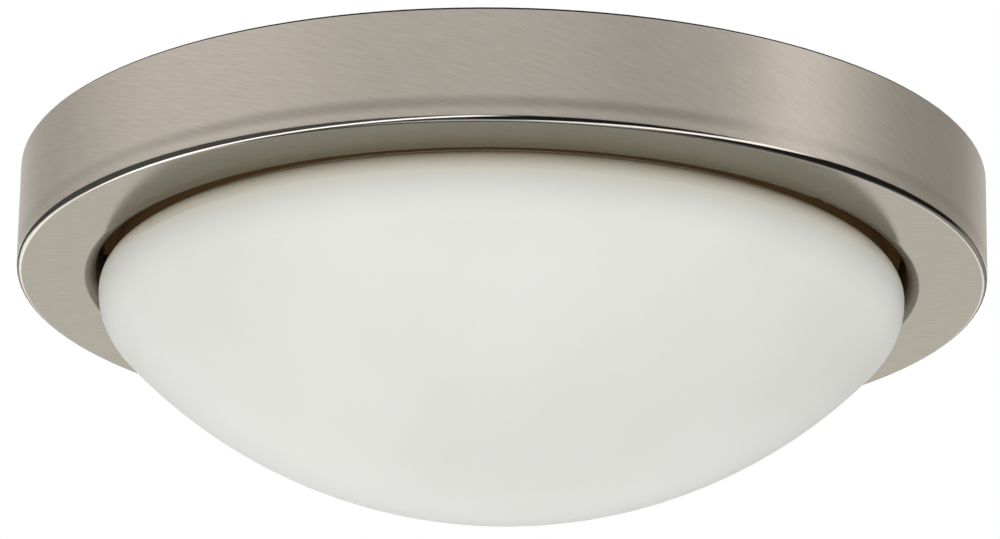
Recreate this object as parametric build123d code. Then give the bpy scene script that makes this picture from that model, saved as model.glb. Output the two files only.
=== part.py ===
"""Flush ceiling light: a nickel drum round a recess, a twist-on opal glass bowl and two lamps.

Millimetres. The origin is the centre of the ceiling plane, +Z points up and the light hangs below it.
"""
import os
from math import asin, cos, degrees, hypot, pi, radians, sqrt, tan

from build123d import *

# Trim ring: turned-in top edge, drum wall, flange and neck, pressed from one sheet
drum_diameter = 330.2
drum_height = 38.1
drum_sheet = 0.8
flange_width = 26.9
top_lip = 5.0
top_bend = 1.3
rim_bend = 1.9
draw_bend = 3.3

# Glass shade
shade_drop = 76.2
shade_gap = 1.2
shoulder_drop = 5.2
shoulder_radius = 20.5
crown_inset = 2.5
glass_wall = 3.0
neck_inset = 5.5
neck_rise = 7.174
neck_wall = 4.0
lip_fillet = 1.5
lip_thickness = 3.0
lip_clearance = 0.75
lip_edge_round = 1.0
lug_height = 2.0
lug_arc = 2.5

# Glass clips, their pads and the twist that locks the shade
clip_count = 3
clip_first_angle = 270.0
clip_width = 16.0
clip_sheet = 1.0
clip_bend = 1.5
clip_pad_thickness = 0.8
clip_pad_inset = 0.4
ledge_gap = 1.5
seat_gap = 0.2
twist_angle = 25.0
stop_arc = 0.25
notch_clearance = 3.0
notch_floor = 0.8

# Rivets
rivet_radius = 1.6
rivet_head_radius = 2.6
rivet_head_height = 1.0
rivet_edge = 4.0
rivet_lip_gap = 1.0
clip_rivet_pitch = 8.0
bracket_rivet_pitch = 14.0
bracket_rivet_inset = 15.0

# Small clearances: pressed seats, and screws and wires in their holes
seat_play = 0.05
hole_play = 0.05

# Inner pan
pan_sheet = 0.8
pan_bend = 2.0
pan_clip_gap = 2.4

# Insulation pad above the pan
pad_opening = 150.0
pad_edge_gap = 4.0
pad_ceiling_gap = 1.0
pad_edge_round = 3.0

# Mounting strap, its studs and their nuts
strap_end = 8.0
strap_width = 25.0
strap_sheet = 1.6
strap_corner = 6.0
strap_wire_hole = 14.0
slot_spacing = 79.4
slot_length = 15.0
slot_width = 5.0
stud_spacing = 116.0
stud_radius = 2.0
stud_head_radius = 3.5
stud_head_height = 0.8
nut_across_flats = 7.0
nut_height = 3.2
washer_radius = 5.0
washer_thickness = 0.8
cap_nut_across_flats = 8.0
cap_nut_hex_height = 5.5
cap_nut_dome_radius = 3.6
cap_nut_thread = 5.0
ground_screw_place = 20.0
ground_screw_radius = 2.0
ground_head_radius = 4.0
ground_head_height = 2.4
drive_slot_width = 1.0
drive_slot_depth = 0.9

# Cable grommet
grommet_bore = 10.0
grommet_groove = 16.0
grommet_flange = 20.0
grommet_lip = 1.5

# Screw thread of the lamps
thread_pitch = 3.63
thread_mid_radius = 12.65
thread_depth = 0.9
thread_turns = 5
shell_turns = 4
thread_clearance = 0.3

# Lamps, measured along their axis from the tip contact
bulb_diameter = 60.0
bulb_length = 110.0
bulb_wall = 1.5
tip_radius = 4.6
tip_height = 1.7
insulator_foot_radius = 5.5
insulator_radius = 12.2
insulator_height = 3.5
cap_lead = 0.6
cap_bore_radius = 11.6
cap_collar_radius = 13.1
cap_collar_height = 2.0
spigot_length = 6.0
spigot_gap = 0.1
housing_neck_height = 6.0
housing_neck_radius = 13.6
housing_flare = 5.0
seam_inset = 1.2
seam_rise = 16.0

# Lampholders and their brackets
lamp_gap = 8.0
lamp_plate_gap = 4.0
lamp_back = 66.0
holder_floor = 13.0
cavity_depth = 32.0
holder_wall = 4.7
holder_back_radius = 16.0
holder_back_length = 10.0
holder_round = 1.5
shell_sheet = 0.35
shell_gap = 0.25
shell_base_bore = 14.0
contact_width = 6.0
contact_sheet = 0.4
contact_reach = 4.0
contact_rise = 3.0
contact_bend = 0.8
contact_gap = 0.3
bracket_width = 24.0
bracket_sheet = 1.2
bracket_bend = 2.0
bracket_foot = 23.0
bracket_window = 13.0
holder_screw_place = 11.0
holder_screw_radius = 1.75
holder_screw_depth = 7.0
holder_screw_head_radius = 3.2
holder_screw_head_height = 2.0
holder_screw_edge = 4.5

# Terminal block
block_rim_gap = 14.5
block_length = 18.0
block_width = 22.0
block_height = 12.0
block_corner = 1.2
pole_spacing = 10.0
sleeve_length = 10.0
sleeve_width = 3.4
sleeve_height = 6.2
sleeve_wall = 0.5
clamp_screw_radius = 1.5
clamp_screw_spacing = 5.6
clamp_screw_sink = 1.0
block_screw_radius = 1.5
block_screw_head_radius = 2.8
block_screw_head_height = 2.0

# Leads, and the clips that hold the long pair against the pan
lead_radius = 1.2
lead_entry = 3.0
lead_exit_offset = 2.0
lead_pan_gap = 0.4
lead_grommet_gap = 1.3
lead_stack = 2.8
lead_pair_spacing = 3.2
lead_clip_place = 35.0
lead_clip_length = 8.0
lead_clip_wall = 2.6
lead_clip_floor = 1.2
lead_clip_play = 0.3

# Heights and radii that follow from the sizes above
drum_radius = drum_diameter / 2
opening_radius = drum_radius - flange_width
flange_z = -drum_height
shade_radius = opening_radius - shade_gap
widest_z = flange_z - shoulder_drop
bottom_z = flange_z - shade_drop
shoulder_centre = shade_radius - shoulder_radius
neck_radius = shade_radius - neck_inset
crown_centre = neck_radius - crown_inset
crown_radius = shade_radius - crown_centre
neck_z = widest_z + sqrt(crown_radius**2 - crown_inset**2)
lip_z = neck_z + neck_rise + lip_fillet
lip_top_z = lip_z + lip_thickness
leg_outer_radius = opening_radius - seat_play
leg_inner_radius = leg_outer_radius - clip_sheet
lip_radius = leg_inner_radius - lip_clearance
ledge_radius = neck_radius + ledge_gap
ledge_top_z = lip_z - seat_gap - clip_pad_thickness
ledge_bottom_z = ledge_top_z - clip_sheet
clip_rivet_z = lip_top_z + rivet_lip_gap + rivet_head_radius
clip_top_z = clip_rivet_z + rivet_edge
pan_under_z = clip_top_z + pan_clip_gap
pan_top_z = pan_under_z + pan_sheet
skirt_inner_radius = opening_radius + drum_sheet + seat_play
skirt_outer_radius = skirt_inner_radius + pan_sheet
skirt_z = clip_rivet_z - rivet_edge
clip_angles = [clip_first_angle + 360 / clip_count * i for i in range(clip_count)]
clip_arc = 2 * degrees(asin(clip_width / 2 / ledge_radius))
notch_arc = clip_arc + degrees(notch_clearance / ledge_radius) * 2
block_place = neck_radius - neck_wall - block_rim_gap - block_length / 2
strap_length = stud_spacing + 2 * strap_end
lamp_y = (bulb_diameter + lamp_gap) / 2
lamp_z = pan_under_z - lamp_plate_gap - bulb_diameter / 2


def at(radius, height):
    """Point of a section in the XZ plane."""
    return Vector(radius, 0, height)


def turned(section, arc=360.0, middle=0.0):
    """Solid of revolution about Z, over an arc centred on an angle."""
    if arc < 360:
        section = Rot(0, 0, middle - arc / 2) * section
    return revolve(section, Axis.Z, arc)


def outline(*edges):
    """Face in the XZ plane inside a closed run of edges."""
    return make_face(edges)


def polygon(*points):
    """Face in the XZ plane with straight sides, from (radius, height) pairs."""
    return outline(Polyline(*[at(*p) for p in points], close=True))


def quarter(start, end, corner):
    """Quarter circle that rounds off a square corner between two points."""
    centre = start + end - corner
    middle = centre + (corner - centre).normalized() * (start - centre).length
    return ThreePointArc(start, middle, end)


def bent_sheet(corners, bend, sheet):
    """Section of bent sheet. The corners lie on the outside of its bends, as (radius, height) pairs."""
    steps = [Vector(b[0] - a[0], b[1] - a[1]).normalized() for a, b in zip(corners, corners[1:])]
    side = 1 if steps[0].cross(steps[1]).Z > 0 else -1
    normals = [Vector(-s.Y, s.X) * side for s in steps]
    inner = []
    for i, corner in enumerate(corners):
        before = normals[max(i - 1, 0)]
        after = normals[min(i, len(normals) - 1)]
        shift = before + after if before != after else before
        inner.append((corner[0] + shift.X * sheet, corner[1] + shift.Y * sheet))
    outside = FilletPolyline(*[at(*p) for p in corners], radius=bend)
    inside = FilletPolyline(*[at(*p) for p in inner], radius=bend - sheet)
    return outline(outside, Line(outside @ 1, inside @ 1), inside, Line(inside @ 0, outside @ 0))


def rod(radius, start, end):
    """Round bar along Z between two heights."""
    return Pos(0, 0, start) * extrude(Circle(radius), end - start)


def across(shape, angle, height):
    """Shape built along Z, laid along the radius at an angle and a height."""
    return Pos(0, 0, height) * Rot(0, 0, angle) * Rot(0, 90, 0) * shape


def mirrored_pair(shape):
    """The shape and its copy, turned half round the light's axis."""
    return [shape, Rot(0, 0, 180) * shape]


# Trim ring
def clip_rivet_places():
    """Angle of the clip and sideways offset of each rivet that holds it."""
    offsets = (-clip_rivet_pitch / 2, clip_rivet_pitch / 2)
    return [(angle, offset) for angle in clip_angles for offset in offsets]


def clip_rivet_holes():
    hole = rod(rivet_radius + hole_play, leg_inner_radius - clip_sheet, skirt_outer_radius + pan_sheet)
    return [across(Pos(0, offset, 0) * hole, angle, clip_rivet_z) for angle, offset in clip_rivet_places()]


def trim_ring():
    outer = [
        at(drum_radius - top_lip, 0),
        at(drum_radius, 0),
        at(drum_radius, flange_z),
        at(opening_radius, flange_z),
        at(opening_radius, clip_top_z),
    ]
    inner = [
        at(drum_radius - top_lip, -drum_sheet),
        at(drum_radius - drum_sheet, -drum_sheet),
        at(drum_radius - drum_sheet, flange_z + drum_sheet),
        at(opening_radius + drum_sheet, flange_z + drum_sheet),
        at(opening_radius + drum_sheet, clip_top_z),
    ]
    bends = [top_bend, rim_bend, draw_bend]
    outside = FilletPolyline(*outer, radius=bends)
    inside = FilletPolyline(*inner, radius=[bend - drum_sheet for bend in bends])
    ends = [Line(outside @ 1, inside @ 1), Line(inside @ 0, outside @ 0)]
    return turned(outline(outside, ends[0], inside, ends[1])) - clip_rivet_holes()


# Inner pan
def pan_holes():
    """Holes through the pan's plate: grommet, studs, bracket rivets and the terminal block's screw."""
    depth = (pan_under_z - pan_sheet, pan_top_z + pan_sheet)
    stud_hole = Pos(stud_spacing / 2, 0, 0) * rod(stud_radius + hole_play, *depth)
    rivet_hole = rod(rivet_radius + hole_play, *depth)
    rivet_holes = [Pos(x, y, 0) * rivet_hole for x, y in bracket_rivet_places()]
    screw_hole = Pos(-block_place, 0, 0) * rod(block_screw_radius + hole_play, *depth)
    return [rod(grommet_groove / 2 + hole_play, *depth), *mirrored_pair(stud_hole), *rivet_holes, screw_hole]


def inner_pan():
    corners = [(0, pan_top_z), (skirt_outer_radius, pan_top_z), (skirt_outer_radius, skirt_z)]
    dish = turned(bent_sheet(corners, pan_bend, pan_sheet))
    return dish - clip_rivet_holes() - pan_holes()


# Glass shade
def shade_section():
    """Bowl of even wall: a wide arc, a shoulder, a tight crown, a neck and a lip over the clips."""
    rise = bottom_z + shoulder_radius
    bowl_z = (rise**2 - widest_z**2 - shoulder_centre**2) / (2 * (rise - widest_z))
    bowl_radius = bowl_z - bottom_z
    reach = hypot(shoulder_centre, bowl_z - widest_z)
    joint = Vector(shoulder_centre / reach, 0, (widest_z - bowl_z) / reach)
    half = Vector(joint.X, 0, joint.Z - 1).normalized()
    flank = Vector(joint.X + 1, 0, joint.Z).normalized()
    bowl = at(0, bowl_z)
    shoulder = at(shoulder_centre, widest_z)
    bore_radius = neck_radius - neck_wall
    inner_shoulder = shoulder_radius - glass_wall
    inner_bowl = bowl_radius - glass_wall
    inner_widest = at(shade_radius - glass_wall, widest_z)
    crown_z = widest_z + crown_radius - glass_wall
    crown = at(crown_centre, widest_z)
    lip_edge = lip_radius - lip_thickness / 2
    round_start = bore_radius + lip_edge_round
    foot, widest = at(0, bottom_z), at(shade_radius, widest_z)
    neck, neck_top = at(neck_radius, neck_z), at(neck_radius, lip_z - lip_fillet)
    crown_middle = crown + ((neck + widest) / 2 - crown).normalized() * crown_radius
    lip_low, lip_high = at(lip_edge, lip_z), at(lip_edge, lip_top_z)
    bore_top = at(bore_radius, lip_top_z - lip_edge_round)
    bore_low = at(bore_radius, crown_z + lip_edge_round)
    inner_joint = shoulder + joint * inner_shoulder
    inner_foot = at(0, bottom_z + glass_wall)
    return outline(
        ThreePointArc(foot, bowl + half * bowl_radius, bowl + joint * bowl_radius),
        ThreePointArc(bowl + joint * bowl_radius, shoulder + flank * shoulder_radius, widest),
        ThreePointArc(widest, crown_middle, neck),
        Line(neck, neck_top),
        quarter(neck_top, at(neck_radius + lip_fillet, lip_z), at(neck_radius, lip_z)),
        Line(at(neck_radius + lip_fillet, lip_z), lip_low),
        ThreePointArc(lip_low, at(lip_radius, lip_z + lip_thickness / 2), lip_high),
        Line(lip_high, at(round_start, lip_top_z)),
        quarter(at(round_start, lip_top_z), bore_top, at(bore_radius, lip_top_z)),
        Line(bore_top, bore_low),
        quarter(bore_low, at(round_start, crown_z), at(bore_radius, crown_z)),
        Line(at(round_start, crown_z), at(crown_centre, crown_z)),
        quarter(at(crown_centre, crown_z), inner_widest, at(inner_widest.X, crown_z)),
        ThreePointArc(inner_widest, shoulder + flank * inner_shoulder, inner_joint),
        ThreePointArc(inner_joint, bowl + half * inner_bowl, inner_foot),
        Line(inner_foot, foot),
    )


def glass_shade():
    """The bowl, with a notch in its lip for each clip and a lug under the lip that stops the twist."""
    notch = polygon(
        (neck_radius + notch_floor, lip_z - lip_fillet),
        (opening_radius, lip_z - lip_fillet),
        (opening_radius, lip_top_z + lip_thickness),
        (neck_radius + notch_floor, lip_top_z + lip_thickness),
    )
    lug = polygon(
        (neck_radius - neck_wall / 2, lip_z - lug_height),
        (lip_radius - lip_thickness / 2, lip_z - lug_height),
        (lip_radius - lip_thickness / 2, lip_z + lip_thickness / 2),
        (neck_radius - neck_wall / 2, lip_z + lip_thickness / 2),
    )
    lug_turn = clip_arc / 2 + stop_arc + lug_arc / 2
    bowl = turned(shade_section())
    for angle in clip_angles:
        bowl -= turned(notch, notch_arc, angle + twist_angle)
        bowl += turned(lug, lug_arc, angle - lug_turn)
    return bowl


# Glass clips
def glass_clip(angle):
    corners = [
        (leg_outer_radius, clip_top_z),
        (leg_outer_radius, ledge_bottom_z),
        (ledge_radius, ledge_bottom_z),
    ]
    return turned(bent_sheet(corners, clip_bend, clip_sheet), clip_arc, angle) - clip_rivet_holes()


def clip_pad(angle):
    inner = ledge_radius + clip_pad_inset
    outer = leg_inner_radius - clip_bend
    pad = polygon(
        (inner, ledge_top_z),
        (outer, ledge_top_z),
        (outer, ledge_top_z + clip_pad_thickness),
        (inner, ledge_top_z + clip_pad_thickness),
    )
    return turned(pad, clip_arc - 2 * degrees(clip_pad_inset / outer), angle)


def rivet(near, far):
    """Rivet along Z: a low domed head before the near face and a formed tail beyond the far one."""
    head = polygon(
        (0, near - rivet_head_height),
        (rivet_head_radius - rivet_head_height, near - rivet_head_height),
        (rivet_head_radius, near),
        (rivet_radius, near),
        (rivet_radius, far),
        (rivet_head_radius, far),
        (rivet_head_radius - rivet_head_height, far + rivet_head_height),
        (0, far + rivet_head_height),
    )
    return turned(head)


def clip_rivets():
    """The walls are curved, so a flat head stands off by the bow across its far edge."""
    spread = clip_rivet_pitch / 2 + rivet_head_radius
    near = sqrt(leg_inner_radius**2 - spread**2) - seat_play
    blank = rivet(near, skirt_outer_radius + seat_play)
    return [across(Pos(0, offset, 0) * blank, angle, clip_rivet_z) for angle, offset in clip_rivet_places()]


# Insulation pad
def insulation_pad():
    outer = skirt_outer_radius - pad_edge_gap
    ring = polygon(
        (pad_opening / 2, pan_top_z),
        (outer, pan_top_z),
        (outer, -pad_ceiling_gap),
        (pad_opening / 2, -pad_ceiling_gap),
    )
    upper = turned(ring)
    return fillet(upper.edges().group_by(Axis.Z)[-1], pad_edge_round)


# Mounting strap and the hardware that hangs the pan from it
def mounting_strap():
    plate = RectangleRounded(strap_length, strap_width, strap_corner)
    slots = [Pos(x, 0) * SlotOverall(slot_length, slot_width) for x in (-slot_spacing / 2, slot_spacing / 2)]
    strap = extrude(plate - slots, -strap_sheet)
    strap -= rod(strap_wire_hole / 2, -strap_sheet, 0)
    strap -= Pos(ground_screw_place, 0, 0) * rod(ground_screw_radius + hole_play, -strap_sheet, 0)
    stud_hole = rod(stud_radius + hole_play, -strap_sheet, 0)
    head_seat = rod(stud_head_radius + hole_play, -stud_head_height, 0)
    return strap - mirrored_pair(Pos(stud_spacing / 2, 0, 0) * (stud_hole + head_seat))


def strap_studs():
    end = pan_under_z - washer_thickness - cap_nut_thread
    stud = rod(stud_radius, end, 0) + rod(stud_head_radius, -stud_head_height, 0)
    return mirrored_pair(Pos(stud_spacing / 2, 0, 0) * stud)


def hexagon(across_flats, start, end):
    side = RegularPolygon(across_flats / 2, 6, major_radius=False)
    return Pos(0, 0, start) * extrude(side, end - start)


def levelling_nuts():
    nut = hexagon(nut_across_flats, pan_top_z, pan_top_z + nut_height)
    nut -= rod(stud_radius + hole_play, pan_top_z, pan_top_z + nut_height)
    return mirrored_pair(Pos(stud_spacing / 2, 0, 0) * nut)


def stud_washers():
    washer = rod(washer_radius, pan_under_z - washer_thickness, pan_under_z)
    washer -= rod(stud_radius + hole_play, pan_under_z - washer_thickness, pan_under_z)
    return mirrored_pair(Pos(stud_spacing / 2, 0, 0) * washer)


def cap_nuts():
    top = pan_under_z - washer_thickness
    foot = top - cap_nut_hex_height
    dome = Pos(0, 0, foot) * Sphere(cap_nut_dome_radius)
    nut = hexagon(cap_nut_across_flats, foot, top) + dome
    nut -= rod(stud_radius + hole_play, top - cap_nut_thread - hole_play, top)
    return mirrored_pair(Pos(stud_spacing / 2, 0, 0) * nut)


def drive_slot(radius):
    """Cut for a driver, across a screw of this radius and up from its end."""
    return Box(2 * radius, drive_slot_width, drive_slot_depth, align=(Align.CENTER, Align.CENTER, Align.MIN))


def slotted_screw(radius, head_radius, head_height, head_z, tip_z):
    """Screw along Z, head down, with a driver slot in the head."""
    screw = rod(head_radius, head_z - head_height, head_z) + rod(radius, head_z, tip_z)
    return screw - Pos(0, 0, head_z - head_height) * drive_slot(head_radius)


def ground_screw():
    head = (ground_head_radius, ground_head_height)
    return Pos(ground_screw_place, 0, 0) * slotted_screw(ground_screw_radius, *head, -strap_sheet, -seat_play)


def cable_grommet():
    low = pan_under_z - grommet_lip
    high = pan_top_z + grommet_lip
    section = polygon(
        (grommet_bore / 2, low),
        (grommet_flange / 2, low),
        (grommet_flange / 2, pan_under_z),
        (grommet_groove / 2, pan_under_z),
        (grommet_groove / 2, pan_top_z),
        (grommet_flange / 2, pan_top_z),
        (grommet_flange / 2, high),
        (grommet_bore / 2, high),
    )
    return turned(section)


# Lamps and lampholders, built along Z from the holder's back and then laid along X
holder_front = holder_floor + cavity_depth
tip_s = holder_floor + contact_rise + contact_gap
cap_s = tip_s + tip_height + insulator_height
thread_s = cap_s + cap_lead
thread_end_s = thread_s + thread_turns * thread_pitch
cap_end_s = thread_end_s + cap_collar_height
bulb_end_s = tip_s + bulb_length
shell_mid_radius = thread_mid_radius + thread_clearance
shell_outer_radius = shell_mid_radius + thread_depth / 2 + shell_sheet
cavity_radius = shell_outer_radius + shell_gap
holder_radius = cavity_radius + holder_wall
bulb_radius = bulb_diameter / 2
widest_s = bulb_end_s - bulb_radius
seam_s = widest_s - seam_rise
seam_radius = bulb_radius - seam_inset


def laid(shape, number):
    """Shape built along a lamp's axis, placed in the first or the second lamp's bed."""
    bed = Plane(origin=(-lamp_back, -lamp_y, lamp_z), x_dir=(0, 1, 0), z_dir=(1, 0, 0)).location
    return Rot(0, 0, 180 * (number - 1)) * bed * shape


def rolled_thread(mid_radius, start, turns):
    """Outline of a rolled thread as round ridges and grooves, half a pitch each."""
    half = thread_pitch / 2
    arcs = []
    for i in range(2 * turns):
        low = start + i * half
        crest = mid_radius + thread_depth / 2 * (-1) ** i
        arcs.append(ThreePointArc(at(mid_radius, low), at(crest, low + half / 2), at(mid_radius, low + half)))
    return arcs


def thread_wall(mid_radius, inner_radius, start, turns):
    """Section from an inner radius out to a rolled thread, with a plain run below it."""
    end = thread_s + turns * thread_pitch
    return outline(
        Line(at(inner_radius, start), at(mid_radius, start)),
        Line(at(mid_radius, start), at(mid_radius, thread_s)),
        *rolled_thread(mid_radius, thread_s, turns),
        Line(at(mid_radius, end), at(inner_radius, end)),
        Line(at(inner_radius, end), at(inner_radius, start)),
    )


def bulb_contact():
    point, back, rim = at(0, tip_s), at(0, tip_s + tip_height), at(tip_radius, tip_s + tip_height)
    crown = ThreePointArc(point, at(tip_radius / 2, tip_s + tip_height / 4), rim)
    return turned(outline(crown, Line(rim, back), Line(back, point)))


def bulb_insulator():
    low = tip_s + tip_height
    return turned(polygon((0, low), (insulator_foot_radius, low), (insulator_radius, cap_s), (0, cap_s)))


def bulb_cap():
    wall = turned(thread_wall(thread_mid_radius, cap_bore_radius, cap_s, thread_turns))
    collar = polygon(
        (cap_bore_radius, thread_end_s),
        (thread_mid_radius, thread_end_s),
        (cap_collar_radius, thread_end_s + cap_collar_radius - thread_mid_radius),
        (cap_collar_radius, cap_end_s),
        (cap_bore_radius, cap_end_s),
    )
    return wall + turned(collar)


def bulb_housing():
    """Flared shell, with a spigot that the cap is crimped on."""
    spigot = cap_bore_radius - spigot_gap
    bore = spigot - bulb_wall
    neck_s = cap_end_s + housing_neck_height
    middle_s = (neck_s + seam_s) / 2
    middle_radius = (housing_neck_radius + seam_radius) / 2 - housing_flare / 2
    return turned(
        outline(
            Polyline(
                at(bore, cap_end_s - spigot_length),
                at(spigot, cap_end_s - spigot_length),
                at(spigot, cap_end_s),
                at(cap_collar_radius, cap_end_s),
                at(housing_neck_radius, neck_s),
            ),
            ThreePointArc(
                at(housing_neck_radius, neck_s),
                at(middle_radius, middle_s),
                at(seam_radius, seam_s),
            ),
            Line(at(seam_radius, seam_s), at(seam_radius - bulb_wall, seam_s)),
            ThreePointArc(
                at(seam_radius - bulb_wall, seam_s),
                at(middle_radius - bulb_wall, middle_s),
                at(housing_neck_radius - bulb_wall, neck_s),
            ),
            Polyline(
                at(housing_neck_radius - bulb_wall, neck_s),
                at(bore, cap_end_s),
                at(bore, cap_end_s - spigot_length),
            ),
        )
    )


def bulb_diffuser():
    """Domed shell: a slightly swollen side below a half-round crown."""
    runs = []
    for inset in (0, bulb_wall):
        radius = bulb_radius - inset
        diagonal = radius * cos(radians(45))
        swell = at(radius - seam_inset / 4, widest_s - seam_rise / 2)
        side = ThreePointArc(at(seam_radius - inset, seam_s), swell, at(radius, widest_s))
        crown_middle = at(diagonal, widest_s + diagonal)
        crown = ThreePointArc(at(radius, widest_s), crown_middle, at(0, widest_s + radius))
        runs.append((side, crown))
    (side, crown), (inner_side, inner_crown) = runs
    ends = [Line(crown @ 1, inner_crown @ 1), Line(inner_side @ 0, side @ 0)]
    return turned(outline(side, crown, ends[0], inner_crown, inner_side, ends[1]))


def holder_screw_spots():
    """Places of the two fixing screws on the holder's back, above and below its axis."""
    return [Pos(0, y, 0) for y in (-holder_screw_place, holder_screw_place)]


def lead_spots():
    """Places of the two lead holes on the holder's back."""
    return [Pos(x, 0, 0) for x in (-lead_exit_offset, lead_exit_offset)]


def lampholder():
    """Porcelain body: a stepped cup with holes in its back for the leads and the fixing screws."""
    body = polygon(
        (0, 0),
        (holder_back_radius, 0),
        (holder_back_radius, holder_back_length),
        (holder_radius, holder_back_length),
        (holder_radius, holder_front),
        (cavity_radius, holder_front),
        (cavity_radius, holder_floor),
        (0, holder_floor),
    )
    cup = turned(body)
    ends = cup.edges().group_by(Axis.Z)
    cup = fillet([ends[0].sort_by(SortBy.RADIUS)[-1], ends[-1].sort_by(SortBy.RADIUS)[-1]], holder_round)
    screw_hole = rod(holder_screw_radius + hole_play, 0, holder_screw_depth)
    lead_hole = rod(lead_radius + hole_play, 0, lead_entry)
    cup -= [spot * screw_hole for spot in holder_screw_spots()]
    return cup - [spot * lead_hole for spot in lead_spots()]


def screw_shell():
    """Thin threaded cup that the lamp's cap turns in, with a hole in its base for the contact."""
    outer = shell_mid_radius + shell_sheet
    wall = turned(thread_wall(outer, shell_base_bore / 2, holder_floor, shell_turns))
    hollow = turned(thread_wall(shell_mid_radius, 0, holder_floor + shell_sheet, shell_turns))
    return wall - hollow


def centre_contact():
    """Spring strip: a foot on the holder's floor, a slope and a flat that the lamp's tip meets."""
    low = holder_floor + contact_sheet / 2
    high = holder_floor + contact_rise - contact_sheet / 2
    slope = contact_reach / 4
    points = [at(-contact_reach, low), at(-slope, low), at(slope, high), at(contact_reach, high)]
    middle = FilletPolyline(*points, radius=contact_bend)
    strip = make_face(offset(middle, contact_sheet / 2, side=Side.BOTH).edges())
    return extrude(strip, contact_width / 2, both=True)


def socket_bracket():
    """Bent strip: a foot under the pan and a leg down the holder's back, with a window for the leads."""
    back = -lamp_back - bracket_sheet
    foot_end = back + bracket_foot
    leg_end = lamp_z - holder_screw_place - holder_screw_edge
    corners = [(foot_end, pan_under_z), (back, pan_under_z), (back, leg_end)]
    strip = extrude(bent_sheet(corners, bracket_bend, bracket_sheet), bracket_width / 2, both=True)
    strip = Pos(0, -lamp_y, 0) * strip
    window = rod(bracket_window / 2, -2 * bracket_sheet, bracket_sheet)
    screw_hole = rod(holder_screw_radius + hole_play, -2 * bracket_sheet, 0)
    strip -= [laid(hole, 1) for hole in (window, *[spot * screw_hole for spot in holder_screw_spots()])]
    rivet_hole = rod(rivet_radius + hole_play, pan_under_z - 2 * bracket_sheet, pan_under_z)
    return strip - [Pos(x, y, 0) * rivet_hole for x, y in bracket_rivet_places()]


def bracket_rivet_places():
    """Places of the rivets through both brackets' feet."""
    x = -lamp_back - bracket_sheet + bracket_rivet_inset
    first = [(x, -lamp_y + offset) for offset in (-bracket_rivet_pitch / 2, bracket_rivet_pitch / 2)]
    return first + [(-a, -b) for a, b in first]


def bracket_rivets():
    blank = rivet(pan_under_z - bracket_sheet, pan_top_z)
    return [Pos(x, y, 0) * blank for x, y in bracket_rivet_places()]


def holder_screws():
    """Screws through the brackets into the backs of the holders."""
    screw = slotted_screw(
        holder_screw_radius,
        holder_screw_head_radius,
        holder_screw_head_height,
        -bracket_sheet,
        holder_screw_depth - hole_play,
    )
    return [laid(spot * screw, number) for number in (1, 2) for spot in holder_screw_spots()]


# Terminal block, built about its own centre line under the pan
block_middle_z = pan_under_z - block_height / 2
block_bottom_z = pan_under_z - block_height
poles = (-pole_spacing / 2, pole_spacing / 2)
clamps = (-clamp_screw_spacing / 2, clamp_screw_spacing / 2)


def on_block(x, y, z=0.0):
    """Place measured from the block's middle in plan."""
    return Pos(x - block_place, y, z)


def terminal_block():
    body = on_block(0, 0, block_middle_z) * Box(block_length, block_width, block_height)
    body = fillet(body.edges().filter_by(Axis.Z), block_corner)
    tunnel = Box(block_length, sleeve_width + 2 * hole_play, sleeve_height + 2 * hole_play)
    body -= [on_block(0, y, block_middle_z) * tunnel for y in poles]
    access = rod(clamp_screw_radius + hole_play, block_bottom_z, block_middle_z)
    body -= [on_block(x, y) * access for x in clamps for y in poles]
    body -= on_block(0, 0) * rod(block_screw_radius + hole_play, block_bottom_z, pan_under_z)
    seat_z = block_bottom_z + block_screw_head_height
    return body - on_block(0, 0) * rod(block_screw_head_radius + hole_play, block_bottom_z, seat_z)


def terminal_sleeves():
    sleeve = Box(sleeve_length, sleeve_width, sleeve_height)
    sleeve -= Box(sleeve_length, sleeve_width - 2 * sleeve_wall, sleeve_height - 2 * sleeve_wall)
    threaded = rod(clamp_screw_radius + hole_play, -sleeve_height, 0)
    sleeve -= [Pos(x, 0, 0) * threaded for x in clamps]
    return [on_block(0, y, block_middle_z) * sleeve for y in poles]


def clamp_screws():
    """Headless screws, sunk in the block's underside, that reach into the sleeves."""
    low = block_bottom_z + clamp_screw_sink
    screw = rod(clamp_screw_radius, low, block_middle_z - sleeve_height / 2 + sleeve_wall)
    screw -= Pos(0, 0, low) * drive_slot(clamp_screw_radius)
    return [on_block(x, y) * screw for x in clamps for y in poles]


def block_screw():
    head = (block_screw_head_radius, block_screw_head_height)
    seat = block_bottom_z + block_screw_head_height
    return on_block(0, 0) * slotted_screw(block_screw_radius, *head, seat, pan_top_z)


# Leads: straight runs joined by arcs as large as the runs allow
lead_end_x = -block_place + sleeve_length / 2 + hole_play
upper_lead_z = block_middle_z + lead_stack / 2
lower_lead_z = block_middle_z - lead_stack / 2
lead_pan_z = pan_under_z - lead_pan_gap - lead_radius
lead_start_x = lamp_back - lead_entry + hole_play
inner_y = lamp_y - lead_exit_offset
outer_y = lamp_y + lead_exit_offset
pair_y = grommet_flange / 2 + lead_grommet_gap + lead_radius

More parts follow.
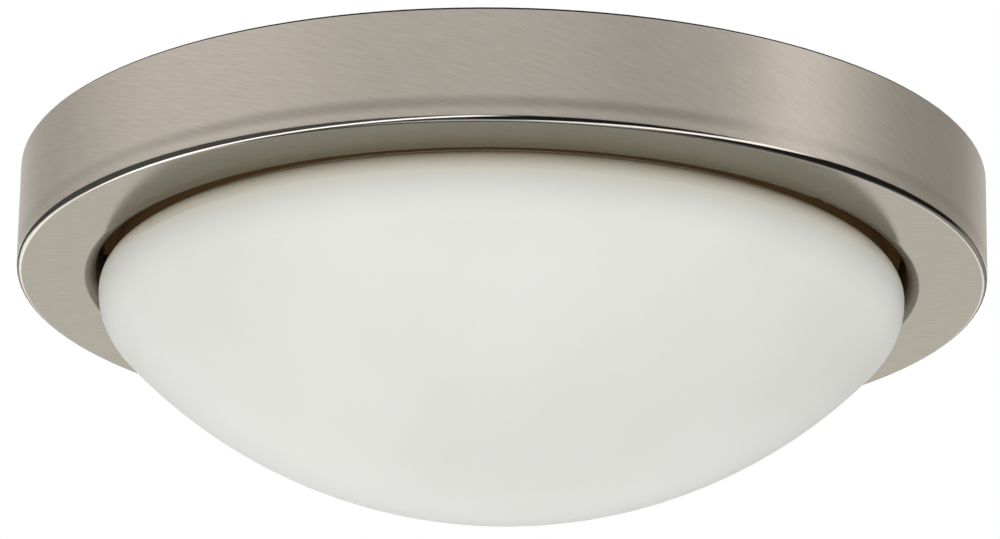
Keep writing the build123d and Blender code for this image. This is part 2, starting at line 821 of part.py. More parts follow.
lead_routes = {
    "live_lead_1": [
        (-lead_start_x, -inner_y, lamp_z),
        (-lamp_back - 14, -inner_y, lamp_z),
        (-lamp_back - 14, -inner_y + 12, lamp_z + 21),
        (lead_end_x + 13, poles[0], lower_lead_z),
        (lead_end_x, poles[0], lower_lead_z),
    ],
    "neutral_lead_1": [
        (-lead_start_x, -outer_y, lamp_z),
        (-lamp_back - 18, -outer_y, lamp_z),
        (-lamp_back - 18, -outer_y + 14, lamp_z + 17),
        (-lamp_back - 18, -outer_y + 28, lamp_z + 21),
        (lead_end_x + 11, poles[1], lower_lead_z),
        (lead_end_x, poles[1], lower_lead_z),
    ],
    "live_lead_2": [
        (lead_start_x, inner_y, lamp_z),
        (lamp_back + 14, inner_y, lamp_z),
        (lamp_back + 14, inner_y - 6, lamp_z + 26),
        (lamp_back - 3, pair_y, lead_pan_z),
        (-lamp_back + 2, pair_y, lead_pan_z),
        (lead_end_x + 17, poles[0], upper_lead_z),
        (lead_end_x, poles[0], upper_lead_z),
    ],
    "neutral_lead_2": [
        (lead_start_x, outer_y, lamp_z),
        (lamp_back + 18, outer_y, lamp_z),
        (lamp_back + 14, outer_y - 4.5, lamp_z + 26),
        (lamp_back - 4, pair_y + lead_pair_spacing, lead_pan_z),
        (-lamp_back - 2, pair_y + lead_pair_spacing, lead_pan_z),
        (lead_end_x + 15, poles[1], upper_lead_z),
        (lead_end_x, poles[1], upper_lead_z),
    ],
}


def lead(name):
    """Insulated wire along its route. Prints its length, its arcs and how true its volume is."""
    points = [Vector(*p) for p in lead_routes[name]]
    runs = [b - a for a, b in zip(points, points[1:])]
    radii = []
    for before, after in zip(runs, runs[1:]):
        half_turn = radians(before.get_angle(after)) / 2
        radii.append(0.45 * min(before.length, after.length) / tan(half_turn))
    path = FilletPolyline(*points, radius=radii)
    end = Plane(origin=path @ 0, z_dir=path % 0)
    wire = sweep(end * Circle(lead_radius), path=path)
    share = wire.volume / (pi * lead_radius**2 * path.length)
    arcs = [round(r, 1) for r in radii]
    print(name, "length", round(path.length, 1), "radii", arcs, "volume share", round(share, 4))
    return wire


def lead_clip(x):
    """Saddle glued under the pan, bridging the long pair of leads."""
    tunnel_width = lead_pair_spacing + 2 * (lead_radius + lead_clip_play)
    tunnel_height = lead_pan_gap + 2 * lead_radius + lead_clip_play
    width = tunnel_width + 2 * lead_clip_wall
    height = tunnel_height + lead_clip_floor
    middle_y = pair_y + lead_pair_spacing / 2
    top = (Align.CENTER, Align.CENTER, Align.MAX)
    saddle = Box(lead_clip_length, width, height, align=top)
    saddle -= Box(lead_clip_length, tunnel_width, tunnel_height, align=top)
    return Pos(x, middle_y, pan_under_z) * saddle


# Nodes
nodes = {
    "trim_ring": trim_ring(),
    "inner_pan": inner_pan(),
    "glass_shade": glass_shade(),
    "clip_rivets": clip_rivets(),
    "insulation_pad": insulation_pad(),
    "mounting_strap": mounting_strap(),
    "strap_studs": strap_studs(),
    "levelling_nuts": levelling_nuts(),
    "stud_washers": stud_washers(),
    "cap_nuts": cap_nuts(),
    "ground_screw": ground_screw(),
    "cable_grommet": cable_grommet(),
    "bracket_rivets": bracket_rivets(),
    "holder_screws": holder_screws(),
    "terminal_block": terminal_block(),
    "terminal_sleeves": terminal_sleeves(),
    "clamp_screws": clamp_screws(),
    "block_screw": block_screw(),
}
for number, angle in enumerate(clip_angles, 1):
    nodes[f"glass_clip_{number}"] = glass_clip(angle)
    nodes[f"clip_pad_{number}"] = clip_pad(angle)
for number, bracket in enumerate(mirrored_pair(socket_bracket()), 1):
    nodes[f"socket_bracket_{number}"] = bracket
lamp_pieces = {
    "lampholder": lampholder(),
    "screw_shell": screw_shell(),
    "centre_contact": centre_contact(),
    "bulb_contact": bulb_contact(),
    "bulb_insulator": bulb_insulator(),
    "bulb_cap": bulb_cap(),
    "bulb_housing": bulb_housing(),
    "bulb_diffuser": bulb_diffuser(),
}
for number in (1, 2):
    for name, piece in lamp_pieces.items():
        nodes[f"{name}_{number}"] = laid(piece, number)
for name in lead_routes:
    nodes[name] = lead(name)
for number, place in enumerate((lead_clip_place, -lead_clip_place), 1):
    nodes[f"lead_clip_{number}"] = lead_clip(place)

os.makedirs("parts", exist_ok=True)
for name, shape in nodes.items():
    solids = shape if isinstance(shape, list) else [shape]
    export_step(Compound([s for piece in solids for s in piece.solids()]), f"parts/{name}.step")
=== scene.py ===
"""Looks of the flush ceiling light: brushed nickel drum, opal glass bowl and the fittings above it."""
from math import asin, atan2, cos, degrees, pi, radians, sin

import bmesh
import bpy
from mathutils import Euler, Matrix, Vector, noise


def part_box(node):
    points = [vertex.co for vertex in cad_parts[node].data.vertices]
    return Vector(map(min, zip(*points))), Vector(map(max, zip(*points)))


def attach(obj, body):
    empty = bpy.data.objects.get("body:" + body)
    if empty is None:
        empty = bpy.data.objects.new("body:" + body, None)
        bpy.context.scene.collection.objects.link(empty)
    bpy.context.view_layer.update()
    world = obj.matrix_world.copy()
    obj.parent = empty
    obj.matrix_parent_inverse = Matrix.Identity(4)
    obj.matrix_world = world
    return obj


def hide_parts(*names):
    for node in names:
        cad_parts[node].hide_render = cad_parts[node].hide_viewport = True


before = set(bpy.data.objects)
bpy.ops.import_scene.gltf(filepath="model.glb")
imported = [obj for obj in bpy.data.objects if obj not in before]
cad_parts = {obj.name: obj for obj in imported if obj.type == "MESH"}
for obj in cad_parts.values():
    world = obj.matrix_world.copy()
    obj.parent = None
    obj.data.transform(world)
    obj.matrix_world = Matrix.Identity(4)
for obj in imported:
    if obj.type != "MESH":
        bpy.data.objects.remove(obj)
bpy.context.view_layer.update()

MM = 0.001

# Places taken from the frame
ring_low, ring_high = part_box("trim_ring")
drum_radius = ring_high[0]
flange_z = ring_low[2]
pad_low, pad_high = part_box("insulation_pad")

# Height above the flange at which the bowl's neck starts; above it the glass is painted dark brown, as painted
# shade of the gap under the flange
neck_rise = 2.6 * MM
neck_z = flange_z + neck_rise

# Span that most of a noise texture's values fill, and how strongly a noise raises a surface
noise_low, noise_high = 0.25, 0.75
relief_strength = 0.5

# Photograph's camera: a long lens from below, with its angles in degrees
camera_place = (0.0, -1.6263, -0.5899)
camera_lens_mm = 181.16
camera_sensor_mm = 36.0
camera_near = 0.05
camera_pitch = 18.988
camera_yaw = 0.024
camera_roll = 0.920

# Light level that reaches matt surfaces, and the white that the camera and reflections see
world_level = 0.876
white_level = 1.0
floor_z = -6.0
floor_half_width = 30.0

# Softboxes: name, azimuth and elevation in degrees, width in metres and power in watts
softboxes = [
    ("key_left", -50, -34, 1.1, 1.7),
    ("fill_front", 0, -26, 0.8, 4.0),
]

# Tent: flags and panels by azimuths and elevations, softness of their edges in degrees, and level
all_round = (-400, 400)
tent_tones = [
    ((-170, -140), (-5, 60), 12, 1.20),
    ((-142, -112), (-5, 60), 18, 0.82),
    ((-98, -40), (-5, 60), 24, 1.23),
    ((-28, 22), (-5, 60), 18, 1.04),
    ((20, 60), (-5, 60), 12, 0.84),
    ((92, 140), (-5, 60), 14, 0.58),
    ((142, 170), (-5, 60), 12, 1.14),
    (all_round, (50, 100), 10, 0.02),
    (all_round, (-100, 9), 5, 0.015),
    ((-150, -10), (-60, 4), 10, 0.08),
    ((130, 230), (-76, -36), 14, 0.10),
    ((128, 172), (-40, 4), 12, 0.33),
    ((-172, -150), (-14, 4), 10, 0.40),
    ((-204, -140), (-34, -8), 10, 1.40),
    (all_round, (-100, -74), 10, 0.55),
    (all_round, (79, 100), 8, 0.80),
]
# Strip lights as runs of azimuth and elevation, half their width in degrees, and level
tent_strips = [
    (
        [(-5, -6), (-10, -15), (-21, -30), (-54, -55), (-99, -60), (-137, -49), (-160, -36)],
        4.5, 2.2,
    ),
    ([(71, 52), (70, 19), (59, -11), (46, -43), (37, -72)], 8, 1.5),
]


def linear(hex_colour):
    """Linear RGBA from an sRGB hex colour."""
    channels = [int(hex_colour[i:i + 2], 16) / 255 for i in (1, 3, 5)]
    return (*[c / 12.92 if c <= 0.04045 else ((c + 0.055) / 1.055) ** 2.4 for c in channels], 1.0)


def add(tree, kind, inputs=None, stops=(), **settings):
    """Adds a node with its settings and links. An input is a value, a socket or a node whose first output is
    linked. A ramp's stops are pairs of a place and a hex colour."""
    node = tree.nodes.new(kind)
    for name, value in settings.items():
        setattr(node, name, value)
    for socket, value in (inputs or {}).items():
        if isinstance(value, bpy.types.Node):
            value = value.outputs[0]
        if isinstance(value, bpy.types.NodeSocket):
            tree.links.new(value, node.inputs[socket])
        else:
            node.inputs[socket].default_value = value
    for i, (position, colour) in enumerate(stops):
        elements = node.color_ramp.elements
        element = elements[i] if i < len(elements) else elements.new(position)
        element.position = position
        element.color = linear(colour)
    return node


def new_material(name):
    """Empty node material, with its output node."""
    material = bpy.data.materials.new(name)
    material.use_nodes = True
    tree = material.node_tree
    tree.nodes.clear()
    return material, tree, tree.nodes.new("ShaderNodeOutputMaterial")


# Materials
def brushed_nickel():
    """Satin nickel plate on pressed steel. The belt leaves fine slanted strokes on the wall and straight ones on
    the flange, so reflections are soft and streaked. The flange is painted darker and cooler than the wall, as
    painted shade. The rolled rim is buffed bright and the bend into the recess is dull. The bend at the ceiling
    is painted near black, a painted shadow of the gap against the ceiling. The strokes are drawn wider than a
    belt's, or the picture could not hold them."""
    material, tree, output = new_material("brushed_nickel")
    stroke_length, stroke_width, stroke_slant = 12 * MM, 0.36 * MM, radians(-19)
    stroke_relief, stroke_strength = 0.025 * MM, 0.30
    rim_bend, top_bend, flange_edge = 1.9 * MM, 1.3 * MM, 0.4 * MM
    draw_radius, draw_fade = 142.6 * MM, 1.2 * MM
    roll_start, roll_end, roll_height_mm = 3.6 * MM, 9.0 * MM, 0.27
    flange_gloss, wall_gloss, stroke_gloss, rim_gloss, draw_gloss = 0.07, 0.29, 0.06, 0.08, 0.55
    place = add(tree, "ShaderNodeTexCoord").outputs["Object"]
    axes = add(tree, "ShaderNodeSeparateXYZ", {"Vector": place}).outputs
    toward = add(tree, "ShaderNodeMath", {0: axes["Y"], 1: -1.0}, operation="MULTIPLY")
    turn = add(tree, "ShaderNodeMath", {0: axes["X"], 1: toward}, operation="ARCTAN2")
    along = add(tree, "ShaderNodeMath", {0: turn, 1: drum_radius}, operation="MULTIPLY")
    unrolled = add(tree, "ShaderNodeCombineXYZ", {"X": along, "Y": axes["Z"]})
    strokes = []
    for vector, slant in ((place, 0.0), (unrolled, stroke_slant)):
        grid = add(
            tree, "ShaderNodeMapping",
            {"Vector": vector, "Rotation": (0, 0, slant), "Scale": (stroke_length, stroke_width, 1.0)},
            vector_type="TEXTURE",
        )
        strokes.append(add(
            tree, "ShaderNodeTexNoise", {"Vector": grid, "Scale": 1.0, "Detail": 2.0, "Roughness": 0.6},
            noise_dimensions="2D",
        ))
    flat = add(tree, "ShaderNodeCombineXYZ", {"X": axes["X"], "Y": axes["Y"]})
    radius = add(tree, "ShaderNodeVectorMath", {0: flat}, operation="LENGTH").outputs["Value"]
    # Masks and one height, each rising from 0 to a level between two places, some at a share of a bend
    on_wall, outer, below, upper, outermost, recess, roll = [
        add(
            tree, "ShaderNodeMapRange",
            {"Value": value, "From Min": start, "From Max": end, "To Max": level},
            interpolation_type="SMOOTHSTEP",
        )
        for value, start, end, level in (
            (axes["Z"], flange_z + flange_edge, flange_z + rim_bend, 1.0),
            (radius, drum_radius - rim_bend, drum_radius - 0.8 * rim_bend, 1.0),
            (axes["Z"], flange_z + 0.95 * rim_bend, flange_z + 0.75 * rim_bend, 1.0),
            (axes["Z"], -0.75 * top_bend, -0.60 * top_bend, 1.0),
            (radius, drum_radius - 0.9 * top_bend, drum_radius - 0.75 * top_bend, 1.0),
            (radius, draw_radius, draw_radius - draw_fade, 1.0),
            (axes["Z"], flange_z + roll_start, flange_z + roll_end, roll_height_mm),
        )
    ]
    stroke = add(tree, "ShaderNodeMix", {"Factor": on_wall, "A": strokes[0], "B": strokes[1]})
    rim = add(tree, "ShaderNodeMath", {0: outer, 1: below}, operation="MULTIPLY")
    # Bend at the ceiling, painted near black below as a painted shadow of the gap against the ceiling
    ceiling_edge_shadow = add(tree, "ShaderNodeMath", {0: upper, 1: outermost}, operation="MULTIPLY")
    tint = add(
        tree, "ShaderNodeValToRGB", {"Fac": stroke},
        [(0.28, "#ADA499"), (0.5, "#B3ABA0"), (0.72, "#BAB2A7")],
    )
    # Painted shade: the flange's colour is multiplied darker and cooler than the wall's
    flange = add(tree, "ShaderNodeMapRange", {"Value": on_wall, "To Min": 1.0, "To Max": 0.0})
    colour = add(
        tree, "ShaderNodeMix", {0: flange, 6: tint, 7: linear("#D2D6D3")},
        data_type="RGBA", blend_type="MULTIPLY",
    ).outputs[2]
    # The rim is lighter buffed nickel; the bend at the ceiling is painted near black, a painted shadow
    for mask, over in ((rim, "#D8D2C9"), (ceiling_edge_shadow, "#1C1916")):
        colour = add(tree, "ShaderNodeMix", {0: mask, 6: colour, 7: linear(over)}, data_type="RGBA").outputs[2]
    plain = add(
        tree, "ShaderNodeMapRange", {"Value": on_wall, "To Min": flange_gloss, "To Max": wall_gloss}
    )
    gloss = add(tree, "ShaderNodeMath", {0: stroke, 1: stroke_gloss, 2: plain}, operation="MULTIPLY_ADD")
    for mask, over in ((rim, rim_gloss), (recess, draw_gloss)):
        gloss = add(tree, "ShaderNodeMix", {"Factor": mask, "A": gloss, "B": over})
    rolled = add(tree, "ShaderNodeBump", {"Height": roll, "Distance": MM})
    calm = add(tree, "ShaderNodeMapRange", {"Value": rim, "To Min": stroke_strength, "To Max": 0.0})
    bump = add(
        tree, "ShaderNodeBump",
        {"Height": stroke, "Strength": calm, "Distance": stroke_relief, "Normal": rolled},
    )
    shader = add(
        tree, "ShaderNodeBsdfPrincipled",
        {
            "Base Color": colour, "Roughness": gloss, "Normal": bump, "Metallic": 1.0,
            "Specular Tint": (0.75, 0.73, 0.70, 1.0),
        },
    )
    tree.links.new(shader.outputs[0], output.inputs["Surface"])
    return material


def grained(name, grain, stops, gloss, relief, stretch=(1, 1, 1), sockets=None):
    """Material whose colour, gloss and relief follow one noise of a given grain size."""
    material, tree, output = new_material(name)
    place = add(tree, "ShaderNodeTexCoord").outputs["Object"]
    grid = add(
        tree, "ShaderNodeMapping", {"Vector": place, "Scale": [grain * s for s in stretch]},
        vector_type="TEXTURE",
    )
    pattern = add(
        tree, "ShaderNodeTexNoise", {"Vector": grid, "Scale": 1.0, "Detail": 4.0, "Roughness": 0.55}
    )
    colour = add(tree, "ShaderNodeValToRGB", {"Fac": pattern}, stops)
    rough = add(
        tree, "ShaderNodeMapRange",
        {
            "Value": pattern, "From Min": noise_low, "From Max": noise_high,
            "To Min": gloss[0], "To Max": gloss[1],
        },
    )
    bump = add(
        tree, "ShaderNodeBump", {"Height": pattern, "Strength": relief_strength, "Distance": relief}
    )
    shader = add(
        tree, "ShaderNodeBsdfPrincipled",
        {"Base Color": colour, "Roughness": rough, "Normal": bump, **(sockets or {})},
    )
    tree.links.new(shader.outputs[0], output.inputs["Surface"])
    return material


def opal_glass():
    """Blown opal glass, acid etched: an even milky white with a silky sheen that light sinks into. Towards the
    crown it is painted lighter and warmer, as painted light where the flange shades it, and light sinks in less
    there. The neck above it is painted a deep, dull brown, as painted shade of the gap under the flange with a
    painted reflection of the nickel."""
    material, tree, output = new_material("opal_glass_acid_etched")
    cloud_size, cloud_relief = 55 * MM, 0.25 * MM
    neck_shade_edge, crown_depth, crown_edge = 0.2 * MM, 14 * MM, 1 * MM
    smooth_gloss, etched_gloss = 0.42, 0.50
    milk_depth, milk_shine, milk_scatter = 0.5, 0.5, 6 * MM
    place = add(tree, "ShaderNodeTexCoord").outputs["Object"]
    grid = add(
        tree, "ShaderNodeMapping", {"Vector": place, "Scale": (cloud_size,) * 3}, vector_type="TEXTURE"
    )
    cloud = add(tree, "ShaderNodeTexNoise", {"Vector": grid, "Scale": 1.0, "Detail": 1.0})
    height = add(tree, "ShaderNodeSeparateXYZ", {"Vector": place}).outputs["Z"]
    crown, neck = [
        add(
            tree, "ShaderNodeMapRange", {"Value": height, "From Min": start, "From Max": end},
            interpolation_type="SMOOTHSTEP",
        )
        for start, end in (
            (neck_z - crown_depth, neck_z - crown_edge),
            (neck_z - neck_shade_edge, neck_z + neck_shade_edge),
        )
    ]
    colour = add(tree, "ShaderNodeValToRGB", {"Fac": cloud}, [(0.30, "#E8E9E1"), (0.70, "#ECEDE6")])
    # Painted light: the crown is lifted towards a light warm white where the flange shades it. Painted shade: the
    # neck is a dark brown for the shaded gap, with a painted reflection of the nickel.
    for mask, over in ((crown, "#F2E8D0"), (neck, "#745A3A")):
        colour = add(
            tree, "ShaderNodeMix", {0: mask, 6: colour, 7: linear(over)}, data_type="RGBA"
        ).outputs[2]
    rough = add(
        tree, "ShaderNodeMapRange",
        {
            "Value": cloud, "From Min": noise_low, "From Max": noise_high,
            "To Min": smooth_gloss, "To Max": etched_gloss,
        },
    )
    depth = add(tree, "ShaderNodeMapRange", {"Value": crown, "To Min": milk_depth, "To Max": 0.0})
    shine = add(tree, "ShaderNodeMapRange", {"Value": neck, "To Min": milk_shine, "To Max": 0.0})
    bump = add(
        tree, "ShaderNodeBump", {"Height": cloud, "Strength": relief_strength, "Distance": cloud_relief}
    )
    shader = add(
        tree, "ShaderNodeBsdfPrincipled",
        {
            "Base Color": colour, "Roughness": rough, "Normal": bump, "IOR": 1.5,
            "Subsurface Weight": depth, "Subsurface Radius": (1.0, 1.0, 0.9),
            "Subsurface Scale": milk_scatter, "Specular IOR Level": shine,
        },
    )
    tree.links.new(shader.outputs[0], output.inputs["Surface"])
    return material


def white_enamel():
    """White enamel baked on steel: bright, fairly glossy, with a slight orange peel."""
    return grained(
        "enamel_baked_white", 2.2 * MM, [(0.30, "#E2E1DB"), (0.70, "#EAE9E4")], (0.26, 0.34), 0.012 * MM,
        sockets={"IOR": 1.5},
    )


def zinc_plated_steel():
    """Bright zinc plate on rolled steel: bluish grey with cloudy spangle and faint rolling streaks."""
    return grained(
        "zinc_plate_bright", 3.0 * MM, [(0.28, "#9EA3A8"), (0.50, "#B4B7BA"), (0.72, "#C6C6C2")], (0.24, 0.42),
        0.03 * MM, stretch=(2.2, 0.7, 1), sockets={"Metallic": 1.0},
    )


def nickel_plate():
    """Polished nickel plate on turned nuts: warm mirror with faint wiping marks."""
    return grained(
        "nickel_plate_polished", 2.5 * MM, [(0.30, "#BDB5AA"), (0.70, "#CFC8BE")], (0.10, 0.20), 0.01 * MM,
        sockets={"Metallic": 1.0},
    )


def rivet_aluminium():
    """Drawn aluminium rivets set by a press: pale grey, dull on the formed heads."""
    return grained(
        "aluminium_drawn", 0.9 * MM, [(0.30, "#B4B7B9"), (0.70, "#CDCFD0")], (0.30, 0.46), 0.02 * MM,
        sockets={"Metallic": 1.0},
    )


def silicone():
    """Moulded silicone: cloudy off-white, soft sheen, slightly see-into."""
    return grained(
        "silicone_moulded", 1.5 * MM, [(0.30, "#D2D0C4"), (0.70, "#DFDDD3")], (0.42, 0.55), 0.02 * MM,
        sockets={
            "IOR": 1.41, "Subsurface Weight": 0.3, "Subsurface Radius": (1.0, 0.9, 0.8),
            "Subsurface Scale": 2 * MM,
        },
    )


def black_rubber():
    """Moulded rubber: near black, matt, with a dusty bloom."""
    return grained(
        "rubber_moulded_black", 0.8 * MM, [(0.35, "#1A1A1B"), (0.75, "#2B2B2C")], (0.55, 0.72), 0.04 * MM,
        sockets={"IOR": 1.52},
    )


def green_lacquer():
    """Green lacquer on the ground screw: a thin glossy coat, worn paler in places."""
    return grained(
        "lacquer_green", 1.2 * MM, [(0.30, "#1E6A38"), (0.75, "#2F8A4E")], (0.22, 0.36), 0.02 * MM,
        sockets={"IOR": 1.5},
    )


def porcelain():
    """Glazed porcelain: warm white with a deep gloss and a faint ripple in the glaze."""
    return grained(
        "porcelain_glazed", 6.0 * MM, [(0.30, "#E4E0D5"), (0.70, "#EDEAE1")], (0.08, 0.16), 0.08 * MM,
        sockets={"IOR": 1.52},
    )


def brass():
    """Rolled brass: golden, softly streaked along the strip, with a trace of tarnish."""
    return grained(
        "brass_rolled", 1.4 * MM, [(0.28, "#A8843F"), (0.55, "#C9A45A"), (0.75, "#D8B772")], (0.20, 0.36),
        0.01 * MM, stretch=(3, 1, 1), sockets={"Metallic": 1.0},
    )


def lamp_diffuser():
    """Frosted polycarbonate: white, silky, light sinks in a little."""
    return grained(
        "polycarbonate_frosted", 1.0 * MM, [(0.30, "#EAEAE5"), (0.70, "#F1F1ED")], (0.40, 0.52), 0.015 * MM,
        sockets={
            "IOR": 1.58, "Subsurface Weight": 0.3, "Subsurface Radius": (1.0, 1.0, 0.95),
            "Subsurface Scale": 3 * MM,
        },
    )


def lamp_housing():
    """Moulded white plastic with a fine spark-eroded texture."""
    return grained(
        "plastic_moulded_white", 0.7 * MM, [(0.30, "#E5E5E1"), (0.70, "#ECECE9")], (0.26, 0.38), 0.03 * MM,
        sockets={"IOR": 1.5},
    )


def lamp_cap():
    """Rolled lamp cap in bright tinned metal, with fine turning marks."""
    return grained(
        "cap_metal_rolled", 0.9 * MM, [(0.30, "#B2B2AE"), (0.70, "#CFCFCB")], (0.18, 0.32), 0.01 * MM,
        stretch=(1, 4, 4), sockets={"Metallic": 1.0},
    )


def lamp_insulator():
    """Pressed black glass: very dark, smooth and shiny."""
    return grained(
        "black_glass_pressed", 1.6 * MM, [(0.35, "#0E0E11"), (0.75, "#1B1B20")], (0.08, 0.16), 0.02 * MM,
        sockets={"IOR": 1.52},
    )


def nylon():
    """Natural nylon moulding: ivory, satin, faintly cloudy."""
    return grained(
        "nylon_moulded", 1.3 * MM, [(0.30, "#DCD7C8"), (0.70, "#E6E2D6")], (0.38, 0.50), 0.02 * MM,
        sockets={
            "IOR": 1.53, "Subsurface Weight": 0.15, "Subsurface Radius": (1.0, 0.9, 0.8),
            "Subsurface Scale": 2 * MM,
        },
    )


def black_wire():
    """Extruded black PVC insulation: dark satin skin with faint drawing lines."""
    return grained(
        "pvc_extruded_black", 0.5 * MM, [(0.35, "#161617"), (0.75, "#252526")], (0.34, 0.46), 0.01 * MM,
        stretch=(8, 1, 1), sockets={"IOR": 1.53},
    )


def white_wire():
    """Extruded white PVC insulation: satin skin with faint drawing lines."""
    return grained(
        "pvc_extruded_white", 0.5 * MM, [(0.35, "#DEDDD6"), (0.75, "#E9E8E2")], (0.34, 0.46), 0.01 * MM,
        stretch=(8, 1, 1), sockets={"IOR": 1.53},
    )


def glass_wool():
    """Resin-bonded glass wool felt: straw yellow, matt and fibrous, with darker hollows between the tufts."""
    material, tree, output = new_material("glass_wool_felted")
    fibre_size, fibre_tilt, fibre_turns = (9 * MM, 0.7 * MM, 1.2 * MM), (0.3, 0.2), (25, 85, 140)
    tuft_size, tuft_share, felt_relief = 14 * MM, 0.35, 0.6 * MM
    place = add(tree, "ShaderNodeTexCoord").outputs["Object"]
    fibres = []
    for turn in fibre_turns:
        grid = add(
            tree, "ShaderNodeMapping",
            {"Vector": place, "Rotation": (*fibre_tilt, radians(turn)), "Scale": fibre_size},
            vector_type="TEXTURE",
        )
        fibres.append(add(
            tree, "ShaderNodeTexNoise", {"Vector": grid, "Scale": 1.0, "Detail": 3.0, "Distortion": 0.6}
        ))
    pair = add(tree, "ShaderNodeMath", {0: fibres[0], 1: fibres[1]}, operation="MAXIMUM")
    felt = add(tree, "ShaderNodeMath", {0: pair, 1: fibres[2]}, operation="MAXIMUM")
    tufts = add(tree, "ShaderNodeTexNoise", {"Vector": place, "Scale": 1 / tuft_size, "Detail": 3.0})
    blend = add(tree, "ShaderNodeMix", {"Factor": tuft_share, "A": felt, "B": tufts})
    colour = add(
        tree, "ShaderNodeValToRGB", {"Fac": blend},
        [(0.40, "#B79A54"), (0.55, "#D8BF7C"), (0.72, "#EBDCA9")],
    )
    bump = add(tree, "ShaderNodeBump", {"Height": felt, "Strength": 0.8, "Distance": felt_relief})
    shader = add(
        tree, "ShaderNodeBsdfPrincipled",
        {"Base Color": colour, "Normal": bump, "Roughness": 0.92, "Sheen Weight": 0.25},
    )
    tree.links.new(shader.outputs[0], output.inputs["Surface"])
    return material


# Finish of each carried-over piece
finishes = {
    brushed_nickel: ["trim_ring"],
    opal_glass: ["glass_shade"],
    white_enamel: ["inner_pan"],
    zinc_plated_steel: [
        "mounting_strap", "strap_studs", "levelling_nuts", "stud_washers", "holder_screws", "block_screw",
        "socket_bracket_1", "socket_bracket_2", "glass_clip_1", "glass_clip_2", "glass_clip_3",
    ],
    nickel_plate: ["cap_nuts"],
    rivet_aluminium: ["clip_rivets", "bracket_rivets"],
    silicone: ["clip_pad_1", "clip_pad_2", "clip_pad_3"],
    black_rubber: ["cable_grommet"],
    green_lacquer: ["ground_screw"],
    porcelain: ["lampholder_1", "lampholder_2"],
    brass: [
        "screw_shell_1", "screw_shell_2", "centre_contact_1", "centre_contact_2", "terminal_sleeves",
        "clamp_screws",
    ],
    lamp_diffuser: ["bulb_diffuser_1", "bulb_diffuser_2"],
    lamp_housing: ["bulb_housing_1", "bulb_housing_2"],
    lamp_cap: ["bulb_cap_1", "bulb_cap_2", "bulb_contact_1", "bulb_contact_2"],
    lamp_insulator: ["bulb_insulator_1", "bulb_insulator_2"],
    nylon: ["terminal_block", "lead_clip_1", "lead_clip_2"],
    black_wire: ["live_lead_1", "live_lead_2"],
    white_wire: ["neutral_lead_1", "neutral_lead_2"],
}
for finish, names in finishes.items():
    material = finish()
    for name in names:
        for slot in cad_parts[name].material_slots:
            slot.material = material


# Insulation pad
def wool_pad():
    """Felted ring with soft edges and an uneven top, flat where it lies on the pan."""
    pad_rings, pad_steps, edge_points = 16, 420, 7
    edge, tuft, lump = 3.2 * MM, 6 * MM, 22 * MM
    tuft_swell, lump_swell, swell_drop = 0.5 * MM, 0.9 * MM, 0.9 * MM
    opening_radius, top_room, flat_zone, weld = 75.0 * MM, 0.7 * MM, 0.2 * MM, 0.01 * MM
    inner, outer = opening_radius, pad_high[0]
    bottom, top = pad_low[2], pad_high[2] - top_room
    middle = (bottom + top) / 2
    shape = bmesh.new()
    section = []
    for i in range(pad_rings + 1):
        section.append((inner + edge / 2 + (outer - inner - edge) * i / pad_rings, bottom))
    for i in range(1, edge_points):
        angle = -pi / 2 + pi * i / edge_points
        section.append((outer - edge / 2 + edge / 2 * cos(angle), middle + (top - bottom) / 2 * sin(angle)))
    for i in range(pad_rings + 1):
        section.append((outer - edge / 2 - (outer - inner - edge) * i / pad_rings, top))
    for i in range(1, edge_points):
        angle = pi / 2 + pi * i / edge_points
        section.append((inner + edge / 2 + edge / 2 * cos(angle), middle + (top - bottom) / 2 * sin(angle)))
    points = [shape.verts.new((radius, 0, height)) for radius, height in section]
    edges = [shape.edges.new(pair) for pair in zip(points, points[1:] + points[:1])]
    bmesh.ops.spin(
        shape, geom=points + edges, cent=(0, 0, 0), axis=(0, 0, 1), angle=2 * pi, steps=pad_steps,
        use_merge=True,
    )
    bmesh.ops.remove_doubles(shape, verts=shape.verts, dist=weld)
    bmesh.ops.recalc_face_normals(shape, faces=shape.faces)
    for vert in shape.verts:
        if vert.co.z > bottom + flat_zone:
            swell = noise.noise(vert.co / lump) * lump_swell + noise.noise(vert.co / tuft) * tuft_swell
            vert.co += vert.normal * (swell - swell_drop)
            vert.co.z = max(vert.co.z, bottom)
    mesh = bpy.data.meshes.new("wool_pad")
    shape.to_mesh(mesh)
    shape.free()
    mesh.shade_smooth()
    mesh.materials.append(glass_wool())
    pad = bpy.data.objects.new("wool_pad", mesh)
    bpy.context.collection.objects.link(pad)
    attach(pad, "fixture")
    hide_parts("insulation_pad")


wool_pad()


# Studio
def in_direction(azimuth, elevation, distance):
    """Point at an azimuth, 0 on the camera's side and growing towards +X, and an elevation, in degrees."""
    turn, tilt = radians(azimuth), radians(elevation)
    return Vector((cos(tilt) * sin(turn), -cos(tilt) * cos(turn), sin(tilt))) * distance


def white_to_the_eye(tree, matt, seen):
    """Shader that looks plain white to the camera, in reflections and through glass, and lights matt
    surfaces."""
    path = add(tree, "ShaderNodeLightPath").outputs
    eye = path["Is Camera Ray"]
    for ray in ("Is Glossy Ray", "Is Transmission Ray"):
        eye = add(tree, "ShaderNodeMath", {0: eye, 1: path[ray]}, operation="MAXIMUM")
    return add(tree, "ShaderNodeMixShader", {0: eye, 1: matt, 2: seen})


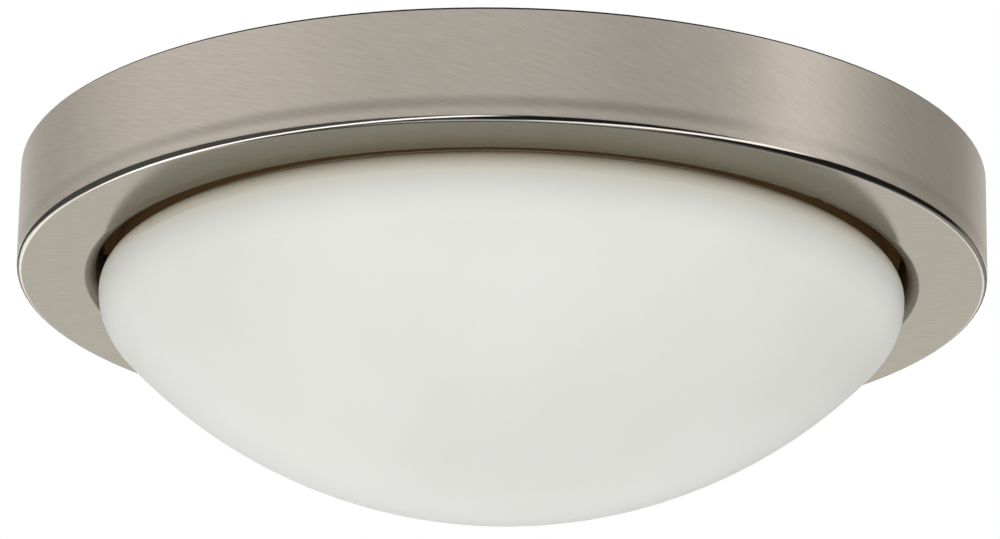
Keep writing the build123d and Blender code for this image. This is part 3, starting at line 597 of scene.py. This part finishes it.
def surroundings():
    """Even white studio."""
    world = bpy.data.worlds.new("studio")
    bpy.context.scene.world = world
    world.use_nodes = True
    tree = world.node_tree
    tree.nodes.clear()
    output = tree.nodes.new("ShaderNodeOutputWorld")
    matt = add(tree, "ShaderNodeBackground", {"Color": (1, 1, 1, 1), "Strength": world_level})
    seen = add(tree, "ShaderNodeBackground", {"Color": (1, 1, 1, 1), "Strength": white_level})
    tree.links.new(white_to_the_eye(tree, matt, seen).outputs[0], output.inputs["Surface"])


def staged(name, shape, material):
    """Object of the studio, made from a bmesh."""
    mesh = bpy.data.meshes.new(name)
    shape.to_mesh(mesh)
    shape.free()
    mesh.materials.append(material)
    thing = bpy.data.objects.new(name, mesh)
    bpy.context.collection.objects.link(thing)
    return thing


def floor():
    """Pale floor far below the light."""
    material, tree, output = new_material("floor_paper")
    matt = add(tree, "ShaderNodeBsdfDiffuse", {"Color": linear("#F8F8F8")})
    seen = add(tree, "ShaderNodeEmission", {"Strength": white_level})
    tree.links.new(white_to_the_eye(tree, matt, seen).outputs[0], output.inputs["Surface"])
    shape = bmesh.new()
    bmesh.ops.create_grid(
        shape, x_segments=1, y_segments=1, size=floor_half_width, matrix=Matrix.Translation((0, 0, floor_z))
    )
    staged("floor", shape, material)


def fade(value, low, high, soft):
    """1 inside a span and 0 outside it, with soft ends."""
    ends = ((value - low) / soft + 0.5, (high - value) / soft + 0.5)
    steps = [min(max(end, 0.0), 1.0) for end in ends]
    return steps[0] * steps[1]


def tent(distance=2.0, step=2, strip_edge=6, strip_steps=12):
    """Paper tent that only gloss reflects. Soft flags, panels and strip lights on it shape the metal, as in a
    studio."""
    runs = []
    for corners, half_width, level in tent_strips:
        ways = [in_direction(*corner, 1.0) for corner in corners]
        points = [a.slerp(b, i / strip_steps) for a, b in zip(ways, ways[1:]) for i in range(strip_steps + 1)]
        runs.append((points, half_width, level))
    shape = bmesh.new()
    bmesh.ops.create_uvsphere(shape, u_segments=360 // step, v_segments=180 // step, radius=distance)
    tone = shape.verts.layers.float.new("tone")
    for vert in shape.verts:
        way = vert.co.normalized()
        azimuth, elevation = degrees(atan2(way.x, -way.y)), degrees(asin(max(-1.0, min(1.0, way.z))))
        level_here = white_level
        for azimuths, elevations, soft, level in tent_tones:
            across = max(fade(azimuth + turn, *azimuths, soft) for turn in (-360, 0, 360))
            level_here += (level - level_here) * across * fade(elevation, *elevations, soft)
        for points, half_width, level in runs:
            away = degrees(min(way.angle(point) for point in points))
            level_here += (level - level_here) * fade(away, -half_width, half_width, strip_edge)
        vert[tone] = level_here
    material, tree, output = new_material("tent_paper")
    painted = add(tree, "ShaderNodeAttribute", attribute_name="tone").outputs["Fac"]
    glow = add(tree, "ShaderNodeEmission", {"Strength": painted})
    tree.links.new(glow.outputs[0], output.inputs["Surface"])
    material.cycles.emission_sampling = "NONE"
    thing = staged("tent", shape, material)
    thing.visible_camera = False
    thing.visible_diffuse = False
    thing.visible_transmission = False
    thing.visible_volume_scatter = False
    thing.visible_shadow = False


def softbox(name, azimuth, elevation, size, power, distance=1.8):
    """Large soft lamp aimed at the bowl."""
    lamp = bpy.data.lights.new(name, "AREA")
    lamp.shape = "DISK"
    lamp.size = size
    lamp.energy = power
    holder = bpy.data.objects.new(name, lamp)
    holder.location = in_direction(azimuth, elevation, distance)
    holder.rotation_euler = holder.location.to_track_quat("Z", "Y").to_euler()
    holder.visible_camera = False
    holder.visible_glossy = False
    bpy.context.collection.objects.link(holder)


def camera():
    """Camera at the photograph's place."""
    view = bpy.data.cameras.new("camera")
    view.sensor_width = camera_sensor_mm
    view.lens = camera_lens_mm
    view.clip_start = camera_near
    holder = bpy.data.objects.new("camera", view)
    tilt = Euler((radians(90 + camera_pitch), 0, radians(camera_yaw))).to_matrix()
    turned = tilt @ Matrix.Rotation(radians(camera_roll), 3, "Z")
    holder.matrix_world = Matrix.Translation(camera_place) @ turned.to_4x4()
    bpy.context.collection.objects.link(holder)
    bpy.context.scene.camera = holder


surroundings()
floor()
for box in softboxes:
    softbox(*box)
tent()
camera()
bpy.context.scene.view_settings.view_transform = "Standard"
